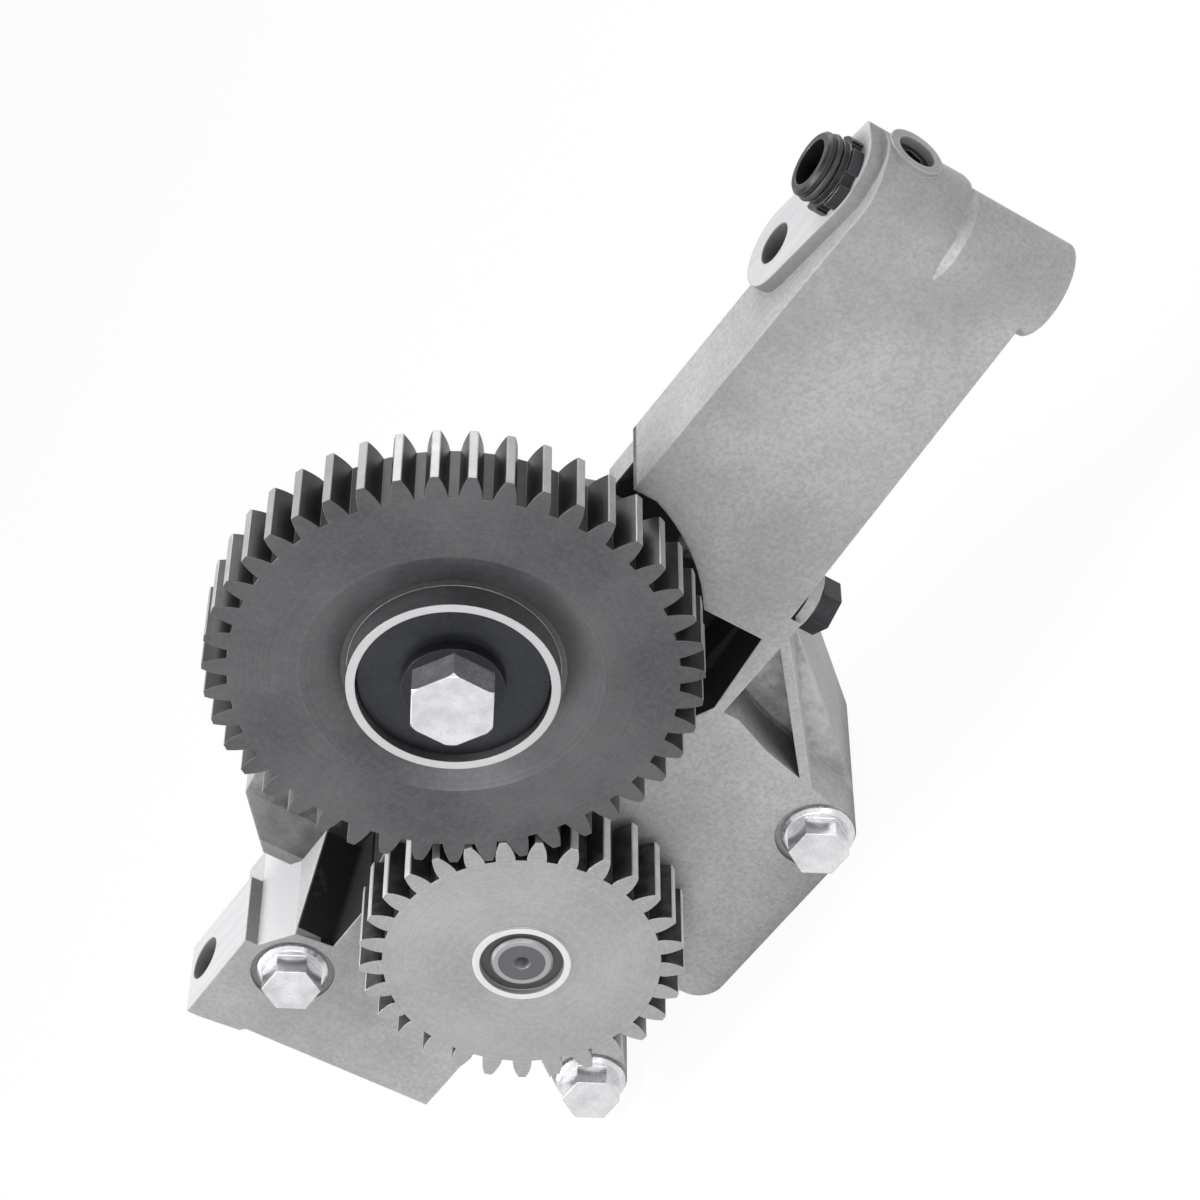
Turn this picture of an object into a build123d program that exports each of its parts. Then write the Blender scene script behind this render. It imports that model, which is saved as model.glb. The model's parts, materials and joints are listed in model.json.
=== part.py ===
from build123d import *
import os
from math import acos, cos, pi, radians, sin, sqrt, tan

# Engine oil pump with idler gear, millimetres.
# X runs along the mounting face towards the end of the arm, Y from the gears towards the rear,
# and Z is the outward normal of the mounting face. The origin is the centre of the near
# mounting hole on that face. The sizes of places are given from the pump shaft: X from the
# shaft axis, Y from the front faces of the gears, Z from the mounting face.

# Gear train
gear_module = 3.0
gear_pressure_angle = 20.0
idler_teeth = 43
shaft_gear_teeth = 29
gear_backlash = 0.30
idler_tooth_phase = 2.4
idler_bearing = 42.0
shaft_drop = 60.0
idler_width = 20.0
shaft_gear_width = 22.0

# Idler hub, bush and fixing
idler_dish_radius = 41.0
idler_dish_floor_radius = 30.5
idler_dish_depth = 3.5
idler_ring_radius = 28.8
idler_ring_height = 4.5
idler_recess_radius = 26.3
idler_recess_floor = 2.1
idler_web_inner_radius = 32.0
idler_web_outer_radius = 54.0
idler_web_depth = 3.0
idler_bush_radius = 22.5
idler_journal_radius = 20.0
journal_flange_radius = 27.0
journal_flange_thickness = 2.9
journal_spigot_radius = 11.0
journal_spigot_length = 8.0
thrust_plate_radius = 25.9
thrust_plate_thickness = 3.5
collar_radius = 14.0
collar_thickness = 3.5
idler_bolt_diameter = 14.0
idler_bolt_flats = 22.0
idler_bolt_head_height = 9.0
idler_bolt_length = 56.0

# Clearances
running_clearance = 0.03
end_float = 0.10
bolt_hole_clearance = 0.5
hole_end_depth = 2.0
thread_clearance = 0.05
tip_clearance = 0.10
rotor_end_clearance = 0.05

# Shaft gear face, pump shaft and pump gears
gear_ring_outer_radius = 14.0
gear_ring_inner_radius = 12.0
gear_ring_height = 0.5
gear_ring_depth = 1.4
thrust_ring_radius = 14.0
shaft_radius = 9.0
shaft_centre_radius = 2.4
shaft_centre_depth = 5.0
shaft_centre_taper = 20.0
rotor_module = 4.0
rotor_pressure_angle = 25.0
rotor_teeth = 11
rotor_backlash = 0.40
rotor_bearing = -50.0
axle_radius = 7.5
axle_seat_depth = 9.0
bush_wall = 2.5
shaft_bush_depth = 18.0

# Bracket casting
front_y = 25.0
slab_depth = 27.0
joint_y = 66.0
cavity_floor_y = 56.0
chamber_front_y = 36.0
pocket_floor_y = 43.0
pad_height = 4.0
arm_start_x = 119.5
arm_end_x = 258.4
arm_root_length = 24.0
arm_root_top_z = -12.0
arm_lower_z = -64.8
arm_rise = 3.0
riser_boss_radius = 15.8
riser_boss_depth = 30.0
nose_end_x = 259.0
nose_rear_y = 51.0
nose_front_corner = 10.0
nose_rear_corner = 1.5
nose_pad_radius = 11.2
nose_foot = (248.5, 36.5)
nose_foot_radius = 13.5
nose_foot_depth = 62.0
nose_shoulder_z = -31.0
nose_shoulder_height = 4.0
nose_shoulder_taper = 45.0
core_radius = 44.0
body_bottom_z = -127.5
body_corner_radius = 8.0
body_right_x = 91.7
body_corner_z = -73.0
body_waist = (86.5, -86.0)
cavity_floor = [(-45.5, -23.0), (-25.0, -23.0), (-25.0, -40.0), (0.0, -50.0), (40.0, -40.0)]
web_end_radius = 4.0
lug_radius = 11.0
lug_root_radius = 16.0
lug_root_share = 0.45
rib_thickness = 3.0
arm_rib_end_x = 129.5
idler_clearance_radius = 67.5
carrier_boss_radius = 28.5
carrier_boss_taper = 1.5
carrier_wall_radius = 24.0
arm_pocket_wall = 5.5
arm_pocket_split_x = 172.0
arm_pocket_floor_y = 32.0
arm_pocket_top_z = -37.0
arm_pocket_corner = 5.0

# Near flange, shoulder and ear
flange_left_x = -92.0
flange_bottom_z = -80.5
flange_lean = 4.5
flange_step = 1.5
near_pad_thickness = 17.0
near_pad_right_x = -57.0
near_wall_thickness = 4.0
bolt_access_right_x = -73.0
bolt_access_wall = 6.0
shoulder_x = -47.0
shoulder_z = -11.0
shoulder_root_z = -40.0
shoulder_rear_x = -32.0
wall_foot_drop = 20.0
ear_top_z = 17.0
ear_left_x = -50.0
ear_step = 17.0
ear_top_radius = 2.0
ear_side_radius = 1.0
wall_corner_radius = 6.0

# Cover bolts and dowels
cover_bolt_diameter = 10.0
cover_bolt_flats = 15.0
cover_bolt_head_height = 9.0
cover_bolt_flange_radius = 10.6
cover_bolt_flange_thickness = 2.2
cover_bolt_length = 51.0
upper_bolt_length = 22.0
spotface_radius = 12.4
spotface_depth = 1.5
cover_bolt_places = [(-61.0, -18.2), (-52.0, -117.0), (68.0, -116.6)]
upper_bolt_place = (52.0, -22.0)
dowel_radius = 4.0
dowel_length = 14.0
dowel_places = [(-40.0, -31.0), (63.0, -94.0)]

# Mounting holes and outlet
near_hole = (-83.4, 40.1)
near_hole_radius = 6.75
far_hole = (216.4, 47.6)
far_hole_radius = 6.0
far_lug_radius = 12.5
far_lug_bottom_z = -57.0
far_spotface_radius = 11.5
outlet = (245.5, 40.5)
riser_radius = 6.5
riser_depth = 46.0
sleeve_radius = 9.0
sleeve_collar_radius = 10.6
sleeve_collar_height = 3.2
sleeve_stand = 9.5
sleeve_seat_depth = 6.5
sleeve_slots = 6
sleeve_slot_width = 3.6
outlet_ring_section = 1.0
outlet_ring_height = 6.2
gallery_hole_z = -12.3
gallery_hole_y = 42.3
gallery_hole_radius = 5.5
gallery_boss_radius = 8.0
gallery_boss_height = 3.0
gallery_plug_depth = 2.5
gallery_plug_length = 4.5
gallery_plug_flats = 6.0
gallery_plug_socket_depth = 3.0

# Oil ways between the pump chamber and the outlet
outlet_port = (30.0, -63.5)
outlet_port_radius = 9.0
inlet_port_radius = 13.0
port_front_y = 46.0
feed_radius = 4.0
feed_y = 60.0
feed_rib_radius = 7.5
duct_radius = 5.0
duct_y = 34.0
duct_z = -24.0

# Rear cover and suction port
cover_thickness = 14.0
cover_boss_radius = 18.0
cover_boss_height = 10.0
suction_port = (-12.0, -95.0)
suction_bore_radius = 12.0
suction_boss_radius = 18.5
suction_boss_height = 16.0
inlet_throat = (4.0, -86.0)
inlet_throat_radius = 7.0
suction_ear_pitch = 54.0
suction_ear_radius = 9.0
suction_ear_bearing = 25.0
suction_screw_radius = 4.25
suction_screw_depth = 14.0
suction_groove_radius = 14.6
suction_groove_width = 2.8
suction_groove_depth = 1.6
suction_ring_section = 1.0

# Relief valve, which opens downwards
relief_x = 130.0
relief_y = 37.0
relief_boss_radius = 9.5
relief_boss_bottom_z = -69.5
relief_boss_top_z = -38.0
relief_bore_radius = 5.0
relief_seat_z = -30.0
relief_inlet_radius = 3.5
relief_drain_radius = 2.0
relief_drain_z = -33.0
relief_piston_length = 16.0
relief_piston_wall = 1.2
relief_piston_crown = 3.5
relief_plug_flats = 14.0
relief_plug_head_height = 6.0
relief_plug_radius = 6.0
relief_plug_length = 10.0
relief_plug_bore_depth = 11.0
relief_washer_thickness = 1.2
relief_washer_radius = 7.4
spring_wire_radius = 0.55
spring_coil_radius = 2.9
spring_turns = 8.0

# Places that follow from the sizes above
datum_x = -near_hole[0]
datum_y = -near_hole[1]
shaft_x = 0.0
shaft_z = -shaft_drop
centre_distance = gear_module * (idler_teeth + shaft_gear_teeth) / 2
idler_x = shaft_x + centre_distance * cos(radians(idler_bearing))
idler_z = shaft_z + centre_distance * sin(radians(idler_bearing))
rotor_spacing = rotor_module * rotor_teeth
rotor_tip_radius = rotor_module * (rotor_teeth / 2 + 1)
rotor_x = shaft_x + rotor_spacing * cos(radians(rotor_bearing))
rotor_z = shaft_z + rotor_spacing * sin(radians(rotor_bearing))
rotor_front_y = chamber_front_y + rotor_end_clearance
rotor_width = joint_y - chamber_front_y - 2 * rotor_end_clearance
slab_back_y = front_y + slab_depth
cover_back_y = joint_y + cover_thickness
suction_face_y = cover_back_y + suction_boss_height
shaft_bush_radius = shaft_radius + bush_wall
rear_bush_back_y = joint_y + shaft_bush_depth
carrier_face_y = idler_width + end_float + journal_flange_thickness
plate_back_y = idler_recess_floor - end_float
plate_front_y = plate_back_y - thrust_plate_thickness
collar_front_y = plate_front_y - collar_thickness
arm_slope = tan(radians(arm_rise))
gallery_face_x = nose_end_x + gallery_boss_height
spring_bottom_z = relief_boss_bottom_z - relief_washer_thickness + relief_plug_length
spring_top_z = relief_seat_z - end_float - relief_piston_crown


def place(x, y, z):
    """Point in the frame of the finished part."""
    return (x + datum_x, y + datum_y, z)


def facing_front(x, y, z):
    """Plane at depth y whose sketch axes are X and Z, and whose normal faces the front."""
    return Plane(origin=place(x, y, z), x_dir=(1, 0, 0), z_dir=(0, -1, 0))


def facing_up(x, y, z):
    """Plane at height z whose sketch axes are X and Y."""
    return Plane(origin=place(x, y, z), x_dir=(1, 0, 0), z_dir=(0, 0, 1))


def facing_end(x, y, z):
    """Plane at x whose sketch axes are Y and Z, and whose normal is +X."""
    return Plane(origin=place(x, y, z), x_dir=(0, 1, 0), z_dir=(1, 0, 0))


def along_arm_edge(x):
    """Height of the arm's lower edge at x."""
    return arm_lower_z + (x - arm_start_x) * arm_slope


def polar(radius, angle):
    return (radius * cos(angle), radius * sin(angle))


def involute(angle):
    return tan(angle) - angle


def gear_outline(teeth, module, pressure_angle, backlash, phase):
    """Face of a spur gear. Each flank is one arc through three points of its involute."""
    pitch = module * teeth / 2
    tip = pitch + module
    root = pitch - 1.25 * module
    pressure = radians(pressure_angle)
    base = pitch * cos(pressure)
    start = max(root, base * 1.001)
    half_tooth = pi / (2 * teeth) - backlash / (4 * pitch) + involute(pressure)

    def half_angle(radius):
        return half_tooth - involute(acos(base / radius))

    middle = (start + tip) / 2
    step = 2 * pi / teeth
    with BuildSketch() as gear:
        with BuildLine():
            for tooth in range(teeth):
                centre = radians(phase) + tooth * step
                rising = [polar(r, centre - half_angle(r)) for r in (start, middle, tip)]
                falling = [polar(r, centre + half_angle(r)) for r in (tip, middle, start)]
                foot_in = polar(root, centre - half_angle(start))
                foot_out = polar(root, centre + half_angle(start))
                next_foot = polar(root, centre + step - half_angle(start))
                if start > root:
                    Line(foot_in, rising[0])
                    Line(falling[2], foot_out)
                ThreePointArc(*rising)
                Line(rising[2], falling[0])
                ThreePointArc(*falling)
                Line(foot_out, next_foot)
        make_face()
    return gear.sketch_local


def hull_of_circles(*circles):
    """Sketch of the convex hull round circles that are given as (x, y, radius)."""
    with BuildSketch() as hull:
        with BuildLine():
            for x, y, radius in circles:
                CenterArc((x, y), radius, 0, 360)
        make_hull()
    return hull.sketch_local


def pump_body_outline():
    """Outline of the pump body where it meets the rear cover, from the front."""
    with BuildSketch() as outline:
        add(hull_of_circles(
            (shaft_x, shaft_z, core_radius * 0.75),
            (body_corner_radius / 2, body_bottom_z + body_corner_radius, body_corner_radius),
            (*cover_bolt_places[2], lug_radius),
            (arm_start_x + web_end_radius, arm_lower_z + web_end_radius, web_end_radius),
        ))
        with Locations((shaft_x, shaft_z)):
            Circle(core_radius)
        with Locations(suction_port):
            Circle(suction_boss_radius)
        for lug in (*cover_bolt_places[:2], upper_bolt_place):
            add(hull_of_circles((*lug, lug_radius), (*lug_root(lug), lug_root_radius)))
    return outline.sketch_local


def lug_root(lug):
    """Point inside the body that a bolt lug grows from, part of the way to the shaft."""
    return (lug[0] * lug_root_share, (lug[1] + shaft_z) / 2)


def flanged_bolt_head(seat_y, places):
    """Hexagon heads with a round flange, which stand on the seat at depth seat_y."""
    with BuildPart() as heads:
        with BuildSketch(facing_front(0, seat_y, 0)):
            with Locations(*places):
                Circle(cover_bolt_flange_radius)
        extrude(amount=cover_bolt_flange_thickness / 2)
        with BuildSketch(facing_front(0, seat_y - cover_bolt_flange_thickness / 2, 0)):
            with Locations(*places):
                Circle(cover_bolt_flange_radius)
        extrude(amount=cover_bolt_flange_thickness / 2, taper=45.0)
        with BuildSketch(facing_front(0, seat_y, 0)):
            with Locations(*places):
                RegularPolygon(cover_bolt_flats / 2, 6, major_radius=False)
        extrude(amount=cover_bolt_head_height)
    return heads.part


os.makedirs("parts", exist_ok=True)

# Pump bracket: pump body, near flange, arm, nose, idler carrier and pads
lug3_x, lug3_z = cover_bolt_places[2]
far_x, far_y = far_hole
outlet_x, outlet_y = outlet
nose_corners = [
    (nose_end_x - nose_front_corner, front_y + nose_front_corner, nose_front_corner),
    (nose_end_x - nose_rear_corner, nose_rear_y - nose_rear_corner, nose_rear_corner),
]
feed_run = (relief_x - outlet_port[0], duct_z - outlet_port[1])
feed_length = sqrt(feed_run[0] ** 2 + feed_run[1] ** 2)

with BuildPart() as pump_bracket:
    # Pump body round the two pump gears, with its bolt lugs and the web towards the arm
    with BuildSketch(facing_front(0, pocket_floor_y, 0)):
        add(pump_body_outline())
    extrude(amount=pocket_floor_y - joint_y)
    with BuildSketch(facing_front(0, front_y, 0)) as body_face:
        Polygon(
            (-5.0, body_bottom_z),
            (lug3_x, body_bottom_z),
            (lug3_x + lug_radius, lug3_z),
            body_waist,
            (body_right_x, body_corner_z),
            (body_right_x, arm_lower_z),
            cavity_floor[-1],
            (-5.0, shaft_z),
            align=None,
        )
        fillet(body_face.vertices().group_by(Axis.Z)[0].sort_by(Axis.X)[0], radius=body_corner_radius)
        with Locations((lug3_x, lug3_z)):
            Circle(lug_radius)
        with Locations((shaft_x, shaft_z)):
            Circle(core_radius)
    extrude(amount=front_y - joint_y)
    for lug in cover_bolt_places[:2]:
        with BuildSketch(facing_front(0, front_y, 0)):
            add(hull_of_circles((*lug, lug_radius), (*lug_root(lug), lug_root_radius)))
        extrude(amount=front_y - joint_y)

    # Near flange with its shoulder, which falls away into the cavity behind the idler
    with BuildSketch(facing_front(0, front_y, 0)):
        Polygon(
            (flange_left_x, -pad_height),
            (flange_left_x + flange_step, -near_pad_thickness),
            (flange_left_x + 2 * flange_step, -near_pad_thickness - flange_step),
            (flange_left_x + flange_lean, flange_bottom_z),
            (shoulder_x, flange_bottom_z),
            (shoulder_x, shoulder_z),
            (near_pad_right_x, -pad_height),
            align=None,
        )
    extrude(amount=-slab_depth)
    with BuildSketch(facing_front(0, front_y, 0)):
        Polygon(
            (bolt_access_right_x + bolt_access_wall, -pad_height),
            (bolt_access_right_x + bolt_access_wall, shoulder_root_z),
            (shoulder_x, shoulder_root_z),
            (shoulder_x, shoulder_z),
            (near_pad_right_x, -pad_height),
            align=None,
        )
    extrude(amount=front_y - joint_y)

    # Rear wall of the cavity, which stands up to carry the idler
    with BuildSketch(facing_front(0, cavity_floor_y, 0)):
        add(hull_of_circles(
            (idler_x, idler_z, carrier_wall_radius),
            (ear_left_x + ear_step + ear_top_radius, ear_top_z - ear_top_radius, ear_top_radius),
            (ear_left_x + ear_side_radius, ear_top_z - ear_step, ear_side_radius),
            (ear_left_x + ear_side_radius, shoulder_z - wall_foot_drop, ear_side_radius),
            (arm_start_x + wall_corner_radius, arm_lower_z + wall_corner_radius, wall_corner_radius),
        ))
    extrude(amount=cavity_floor_y - joint_y)

    # Arm, with a deeper root that joins it to the rear wall
    with BuildSketch(facing_front(0, front_y, 0)):
        Polygon(
            (arm_start_x, arm_lower_z),
            (arm_start_x, -pad_height),
            (arm_end_x, -pad_height),
            (arm_end_x, along_arm_edge(arm_end_x)),
            align=None,
        )
    extrude(amount=-slab_depth)
    with BuildSketch(facing_front(0, slab_back_y, 0)):
        Polygon(
            (arm_start_x, arm_lower_z),
            (arm_start_x, arm_root_top_z),
            (arm_start_x + arm_root_length, arm_root_top_z),
            (arm_start_x + arm_root_length, along_arm_edge(arm_start_x + arm_root_length)),
            align=None,
        )
    extrude(amount=slab_back_y - joint_y)
    arm_tip = pump_bracket.edges().filter_by(Axis.Z).group_by(Axis.X)[-1]
    fillet(arm_tip, radius=slab_depth / 2 - 0.05)
    with BuildSketch(facing_up(*nose_foot, -nose_foot_depth)):
        Circle(nose_foot_radius)
    extrude(amount=nose_foot_depth + nose_shoulder_z)
    with BuildSketch(facing_up(*nose_foot, nose_shoulder_z)):
        Circle(nose_foot_radius)
    extrude(amount=nose_shoulder_height, taper=nose_shoulder_taper)
    with BuildSketch(facing_up(0, 0, -riser_boss_depth)):
        add(hull_of_circles((*outlet, riser_boss_radius), *nose_corners))
    extrude(amount=riser_boss_depth - pad_height)
    with BuildSketch(facing_end(nose_end_x, gallery_hole_y, gallery_hole_z)):
        Circle(gallery_boss_radius)
    extrude(amount=gallery_boss_height)
    with BuildSketch(facing_up(far_x, far_y, far_lug_bottom_z)):
        Circle(far_lug_radius)
    extrude(amount=-pad_height - far_lug_bottom_z)

    # Relief valve boss behind the lower edge of the arm
    with BuildSketch(facing_up(relief_x, relief_y, relief_boss_bottom_z)):
        Circle(relief_boss_radius)
    extrude(amount=relief_boss_top_z - relief_boss_bottom_z)

    # Ribs round the pocket beside the arm: one along the arm, one across to the bolt lug
    with BuildSketch(facing_front(0, front_y, 0)):
        Polygon(
            (body_right_x, arm_lower_z),
            (body_right_x, arm_lower_z - rib_thickness),
            (arm_rib_end_x, arm_lower_z - rib_thickness),
            (arm_rib_end_x, arm_lower_z + rib_thickness),
            (arm_start_x, arm_lower_z + rib_thickness),
            align=None,
        )
        add(hull_of_circles(
            (arm_start_x + web_end_radius, arm_lower_z - rib_thickness / 2, rib_thickness / 2),
            (lug3_x + 1.2 * lug_radius, lug3_z + 1.2 * lug_radius, rib_thickness / 2),
        ))
    extrude(amount=front_y - pocket_floor_y)

    # Machined pads, which stand proud of the top walls
    with BuildSketch(facing_up(0, 0, -pad_height)):
        Polygon(
            (flange_left_x, front_y),
            (near_pad_right_x, front_y),
            (near_pad_right_x, slab_back_y),
            (flange_left_x, slab_back_y),
            align=None,
        )
        add(hull_of_circles(
            (*far_hole, far_lug_radius),
            (*outlet, nose_pad_radius),
            (nose_end_x - nose_front_corner, outlet_y, nose_front_corner),
            nose_corners[1],
        ))
    extrude(amount=pad_height)

    # Cavity between the pump body, the arm and the rear wall, open at the top
    with BuildSketch(facing_front(0, front_y, 0)):
        Polygon(
            (shoulder_x, shoulder_z),
            *cavity_floor,
            (body_right_x, arm_lower_z + rib_thickness),
            (arm_start_x, arm_lower_z + rib_thickness),
            (arm_start_x, idler_z + idler_clearance_radius),
            (shoulder_x, idler_z + idler_clearance_radius),
            align=None,
        )
        with Locations((shaft_x, shaft_z)):
            Circle(core_radius, mode=Mode.SUBTRACT)
    extrude(amount=front_y - cavity_floor_y, mode=Mode.SUBTRACT)
    with BuildSketch(facing_front(0, front_y, 0)):
        with Locations((idler_x, idler_z)):
            Circle(idler_clearance_radius)
        with Locations((arm_start_x, arm_lower_z + rib_thickness)):
            Rectangle(
                2 * arm_root_length, idler_clearance_radius * 2,
                align=(Align.CENTER, Align.MIN), mode=Mode.INTERSECT,
            )
    extrude(amount=front_y - cavity_floor_y, mode=Mode.SUBTRACT)

    # Tapered boss on the rear wall that carries the idler, and the rib round the feed way
    with BuildSketch(facing_front(idler_x, cavity_floor_y, idler_z)):
        Circle(carrier_boss_radius)
    extrude(amount=cavity_floor_y - carrier_face_y, taper=carrier_boss_taper)
    with BuildSketch(facing_front(idler_x, joint_y, idler_z)):
        Circle(carrier_wall_radius)
    extrude(amount=joint_y - cavity_floor_y)
    with BuildSketch(facing_front(0, joint_y, 0)):
        add(hull_of_circles((*outlet_port, feed_rib_radius), (relief_x, duct_z, feed_rib_radius)))
    extrude(amount=joint_y - feed_y + feed_rib_radius)

    # Shoulder's inner side, which runs out to the right towards the rear wall
    with BuildSketch(facing_up(0, 0, shoulder_root_z)):
        Polygon(
            (shoulder_x - nose_rear_corner, front_y),
            (shoulder_x, front_y),
            (shoulder_rear_x, cavity_floor_y),
            (shoulder_x - nose_rear_corner, cavity_floor_y),
            align=None,
        )
    extrude(amount=shoulder_z - shoulder_root_z)

    # Chamber for the two pump gears, with its inlet and outlet ports
    with BuildSketch(facing_front(0, joint_y, 0)):
        with Locations((shaft_x, shaft_z), (rotor_x, rotor_z)):
            Circle(rotor_tip_radius + tip_clearance)
    extrude(amount=joint_y - chamber_front_y, mode=Mode.SUBTRACT)
    with BuildSketch(facing_front(0, joint_y, 0)):
        with Locations(outlet_port):
            Circle(outlet_port_radius)
        add(hull_of_circles(
            (*suction_port, inlet_port_radius), (*inlet_throat, inlet_throat_radius)
        ))
    extrude(amount=joint_y - port_front_y, mode=Mode.SUBTRACT)

    # Bores for the shaft bush, the fixed axle, the journal and the idler bolt
    with BuildSketch(facing_front(shaft_x, front_y, shaft_z)):
        Circle(shaft_bush_radius)
    extrude(amount=front_y - chamber_front_y, mode=Mode.SUBTRACT)
    with BuildSketch(facing_front(rotor_x, chamber_front_y, rotor_z)):
        Circle(axle_radius)
    extrude(amount=axle_seat_depth, mode=Mode.SUBTRACT)
    with BuildSketch(facing_front(idler_x, carrier_face_y, idler_z)):
        Circle(journal_spigot_radius)
    extrude(amount=-journal_spigot_length, mode=Mode.SUBTRACT)
    with BuildSketch(facing_front(idler_x, collar_front_y, idler_z)):
        Circle(idler_bolt_diameter / 2 + thread_clearance)
    extrude(amount=-idler_bolt_length - hole_end_depth, mode=Mode.SUBTRACT)

    # Cover bolt holes with their spotfaces, and the dowel holes
    with BuildSketch(facing_front(0, front_y, 0)):
        with Locations(*cover_bolt_places):
            Circle(spotface_radius)
    extrude(amount=-spotface_depth, mode=Mode.SUBTRACT)
    with BuildSketch(facing_front(0, front_y, 0)):
        with Locations(*cover_bolt_places, upper_bolt_place):
            Circle(cover_bolt_diameter / 2 + bolt_hole_clearance)
    extrude(amount=front_y - joint_y, mode=Mode.SUBTRACT)
    with BuildSketch(facing_front(0, joint_y, 0)):
        with Locations(*dowel_places):
            Circle(dowel_radius)
    extrude(amount=dowel_length / 2, mode=Mode.SUBTRACT)

    # Near mounting hole, with the room below it for its bolt head
    with BuildSketch(facing_up(*near_hole, 0)):
        Circle(near_hole_radius)
    extrude(amount=-near_pad_thickness - flange_step, mode=Mode.SUBTRACT)
    with BuildSketch(facing_front(0, front_y + near_wall_thickness, 0)):
        Polygon(
            (flange_left_x, -near_pad_thickness - flange_step),
            (bolt_access_right_x, -near_pad_thickness - flange_step),
            (bolt_access_right_x, flange_bottom_z),
            (flange_left_x, flange_bottom_z),
            align=None,
        )
    extrude(amount=near_wall_thickness - slab_depth, mode=Mode.SUBTRACT)

    # Far mounting hole right through the arm, with a spotface under it
    with BuildSketch(facing_up(far_x, far_y, 0)):
        Circle(far_hole_radius)
    extrude(amount=-nose_foot_depth, mode=Mode.SUBTRACT)
    with BuildSketch(facing_up(far_x, far_y, far_lug_bottom_z)):
        Circle(far_spotface_radius)
    extrude(amount=-arm_pocket_wall, mode=Mode.SUBTRACT)

    # Seat for the outlet sleeve, riser below it and the hole for the gallery plug
    with BuildSketch(facing_up(outlet_x, outlet_y, 0)):
        Circle(sleeve_radius)
    extrude(amount=-sleeve_seat_depth, mode=Mode.SUBTRACT)
    with BuildSketch(facing_up(outlet_x, outlet_y, 0)):
        Circle(riser_radius)
    extrude(amount=-riser_depth, mode=Mode.SUBTRACT)
    with BuildSketch(facing_end(gallery_face_x, gallery_hole_y, gallery_hole_z)):
        Circle(gallery_hole_radius)
    extrude(amount=outlet_x - gallery_face_x, mode=Mode.SUBTRACT)

    # Oil ways: feed from the outlet port, its crossing to the relief valve, duct in the arm
    feed_start = Plane(
        origin=place(outlet_port[0], feed_y, outlet_port[1]), z_dir=(feed_run[0], 0, feed_run[1])
    )
    with BuildSketch(feed_start):
        Circle(feed_radius)
    extrude(amount=feed_length, mode=Mode.SUBTRACT)
    with BuildSketch(facing_front(relief_x, feed_y, duct_z)):
        Circle(feed_radius)
    extrude(amount=feed_y - relief_y, mode=Mode.SUBTRACT)
    with BuildSketch(facing_end(relief_x - feed_radius, duct_y, duct_z)):
        Circle(duct_radius)
    extrude(amount=outlet_x - relief_x + feed_radius, mode=Mode.SUBTRACT)

    # Relief valve bore with its inlet, its drain to the rear and the thread for the plug
    with BuildSketch(facing_up(relief_x, relief_y, relief_boss_bottom_z)):
        Circle(relief_plug_radius + thread_clearance)
    extrude(amount=relief_plug_bore_depth, mode=Mode.SUBTRACT)
    with BuildSketch(facing_up(relief_x, relief_y, relief_boss_bottom_z)):
        Circle(relief_bore_radius)
    extrude(amount=relief_seat_z - relief_boss_bottom_z, mode=Mode.SUBTRACT)
    with BuildSketch(facing_up(relief_x, relief_y, relief_seat_z)):
        Circle(relief_inlet_radius)
    extrude(amount=duct_z - relief_seat_z, mode=Mode.SUBTRACT)
    with BuildSketch(facing_front(relief_x, joint_y, relief_drain_z)):
        Circle(relief_drain_radius)
    extrude(amount=joint_y - relief_y, mode=Mode.SUBTRACT)

    # Pockets in the back of the arm, below its oil duct
    pocket_edges = (
        (arm_start_x + arm_root_length + arm_pocket_wall, arm_pocket_split_x),
        (arm_pocket_split_x + arm_pocket_wall, far_x - far_lug_radius - arm_pocket_wall),
    )
    for left, right in pocket_edges:
        with BuildSketch(facing_front(0, slab_back_y, 0)) as arm_pocket:
            Polygon(
                (left, arm_pocket_top_z),
                (right, arm_pocket_top_z),
                (right, along_arm_edge(right) + arm_pocket_wall),
                (left, along_arm_edge(left) + arm_pocket_wall),
                align=None,
            )
            fillet(arm_pocket.vertices(), radius=arm_pocket_corner)
        extrude(amount=slab_back_y - arm_pocket_floor_y, mode=Mode.SUBTRACT)
pump_bracket.part.label = "pump_bracket"
export_step(pump_bracket.part, "parts/pump_bracket.step")

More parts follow.
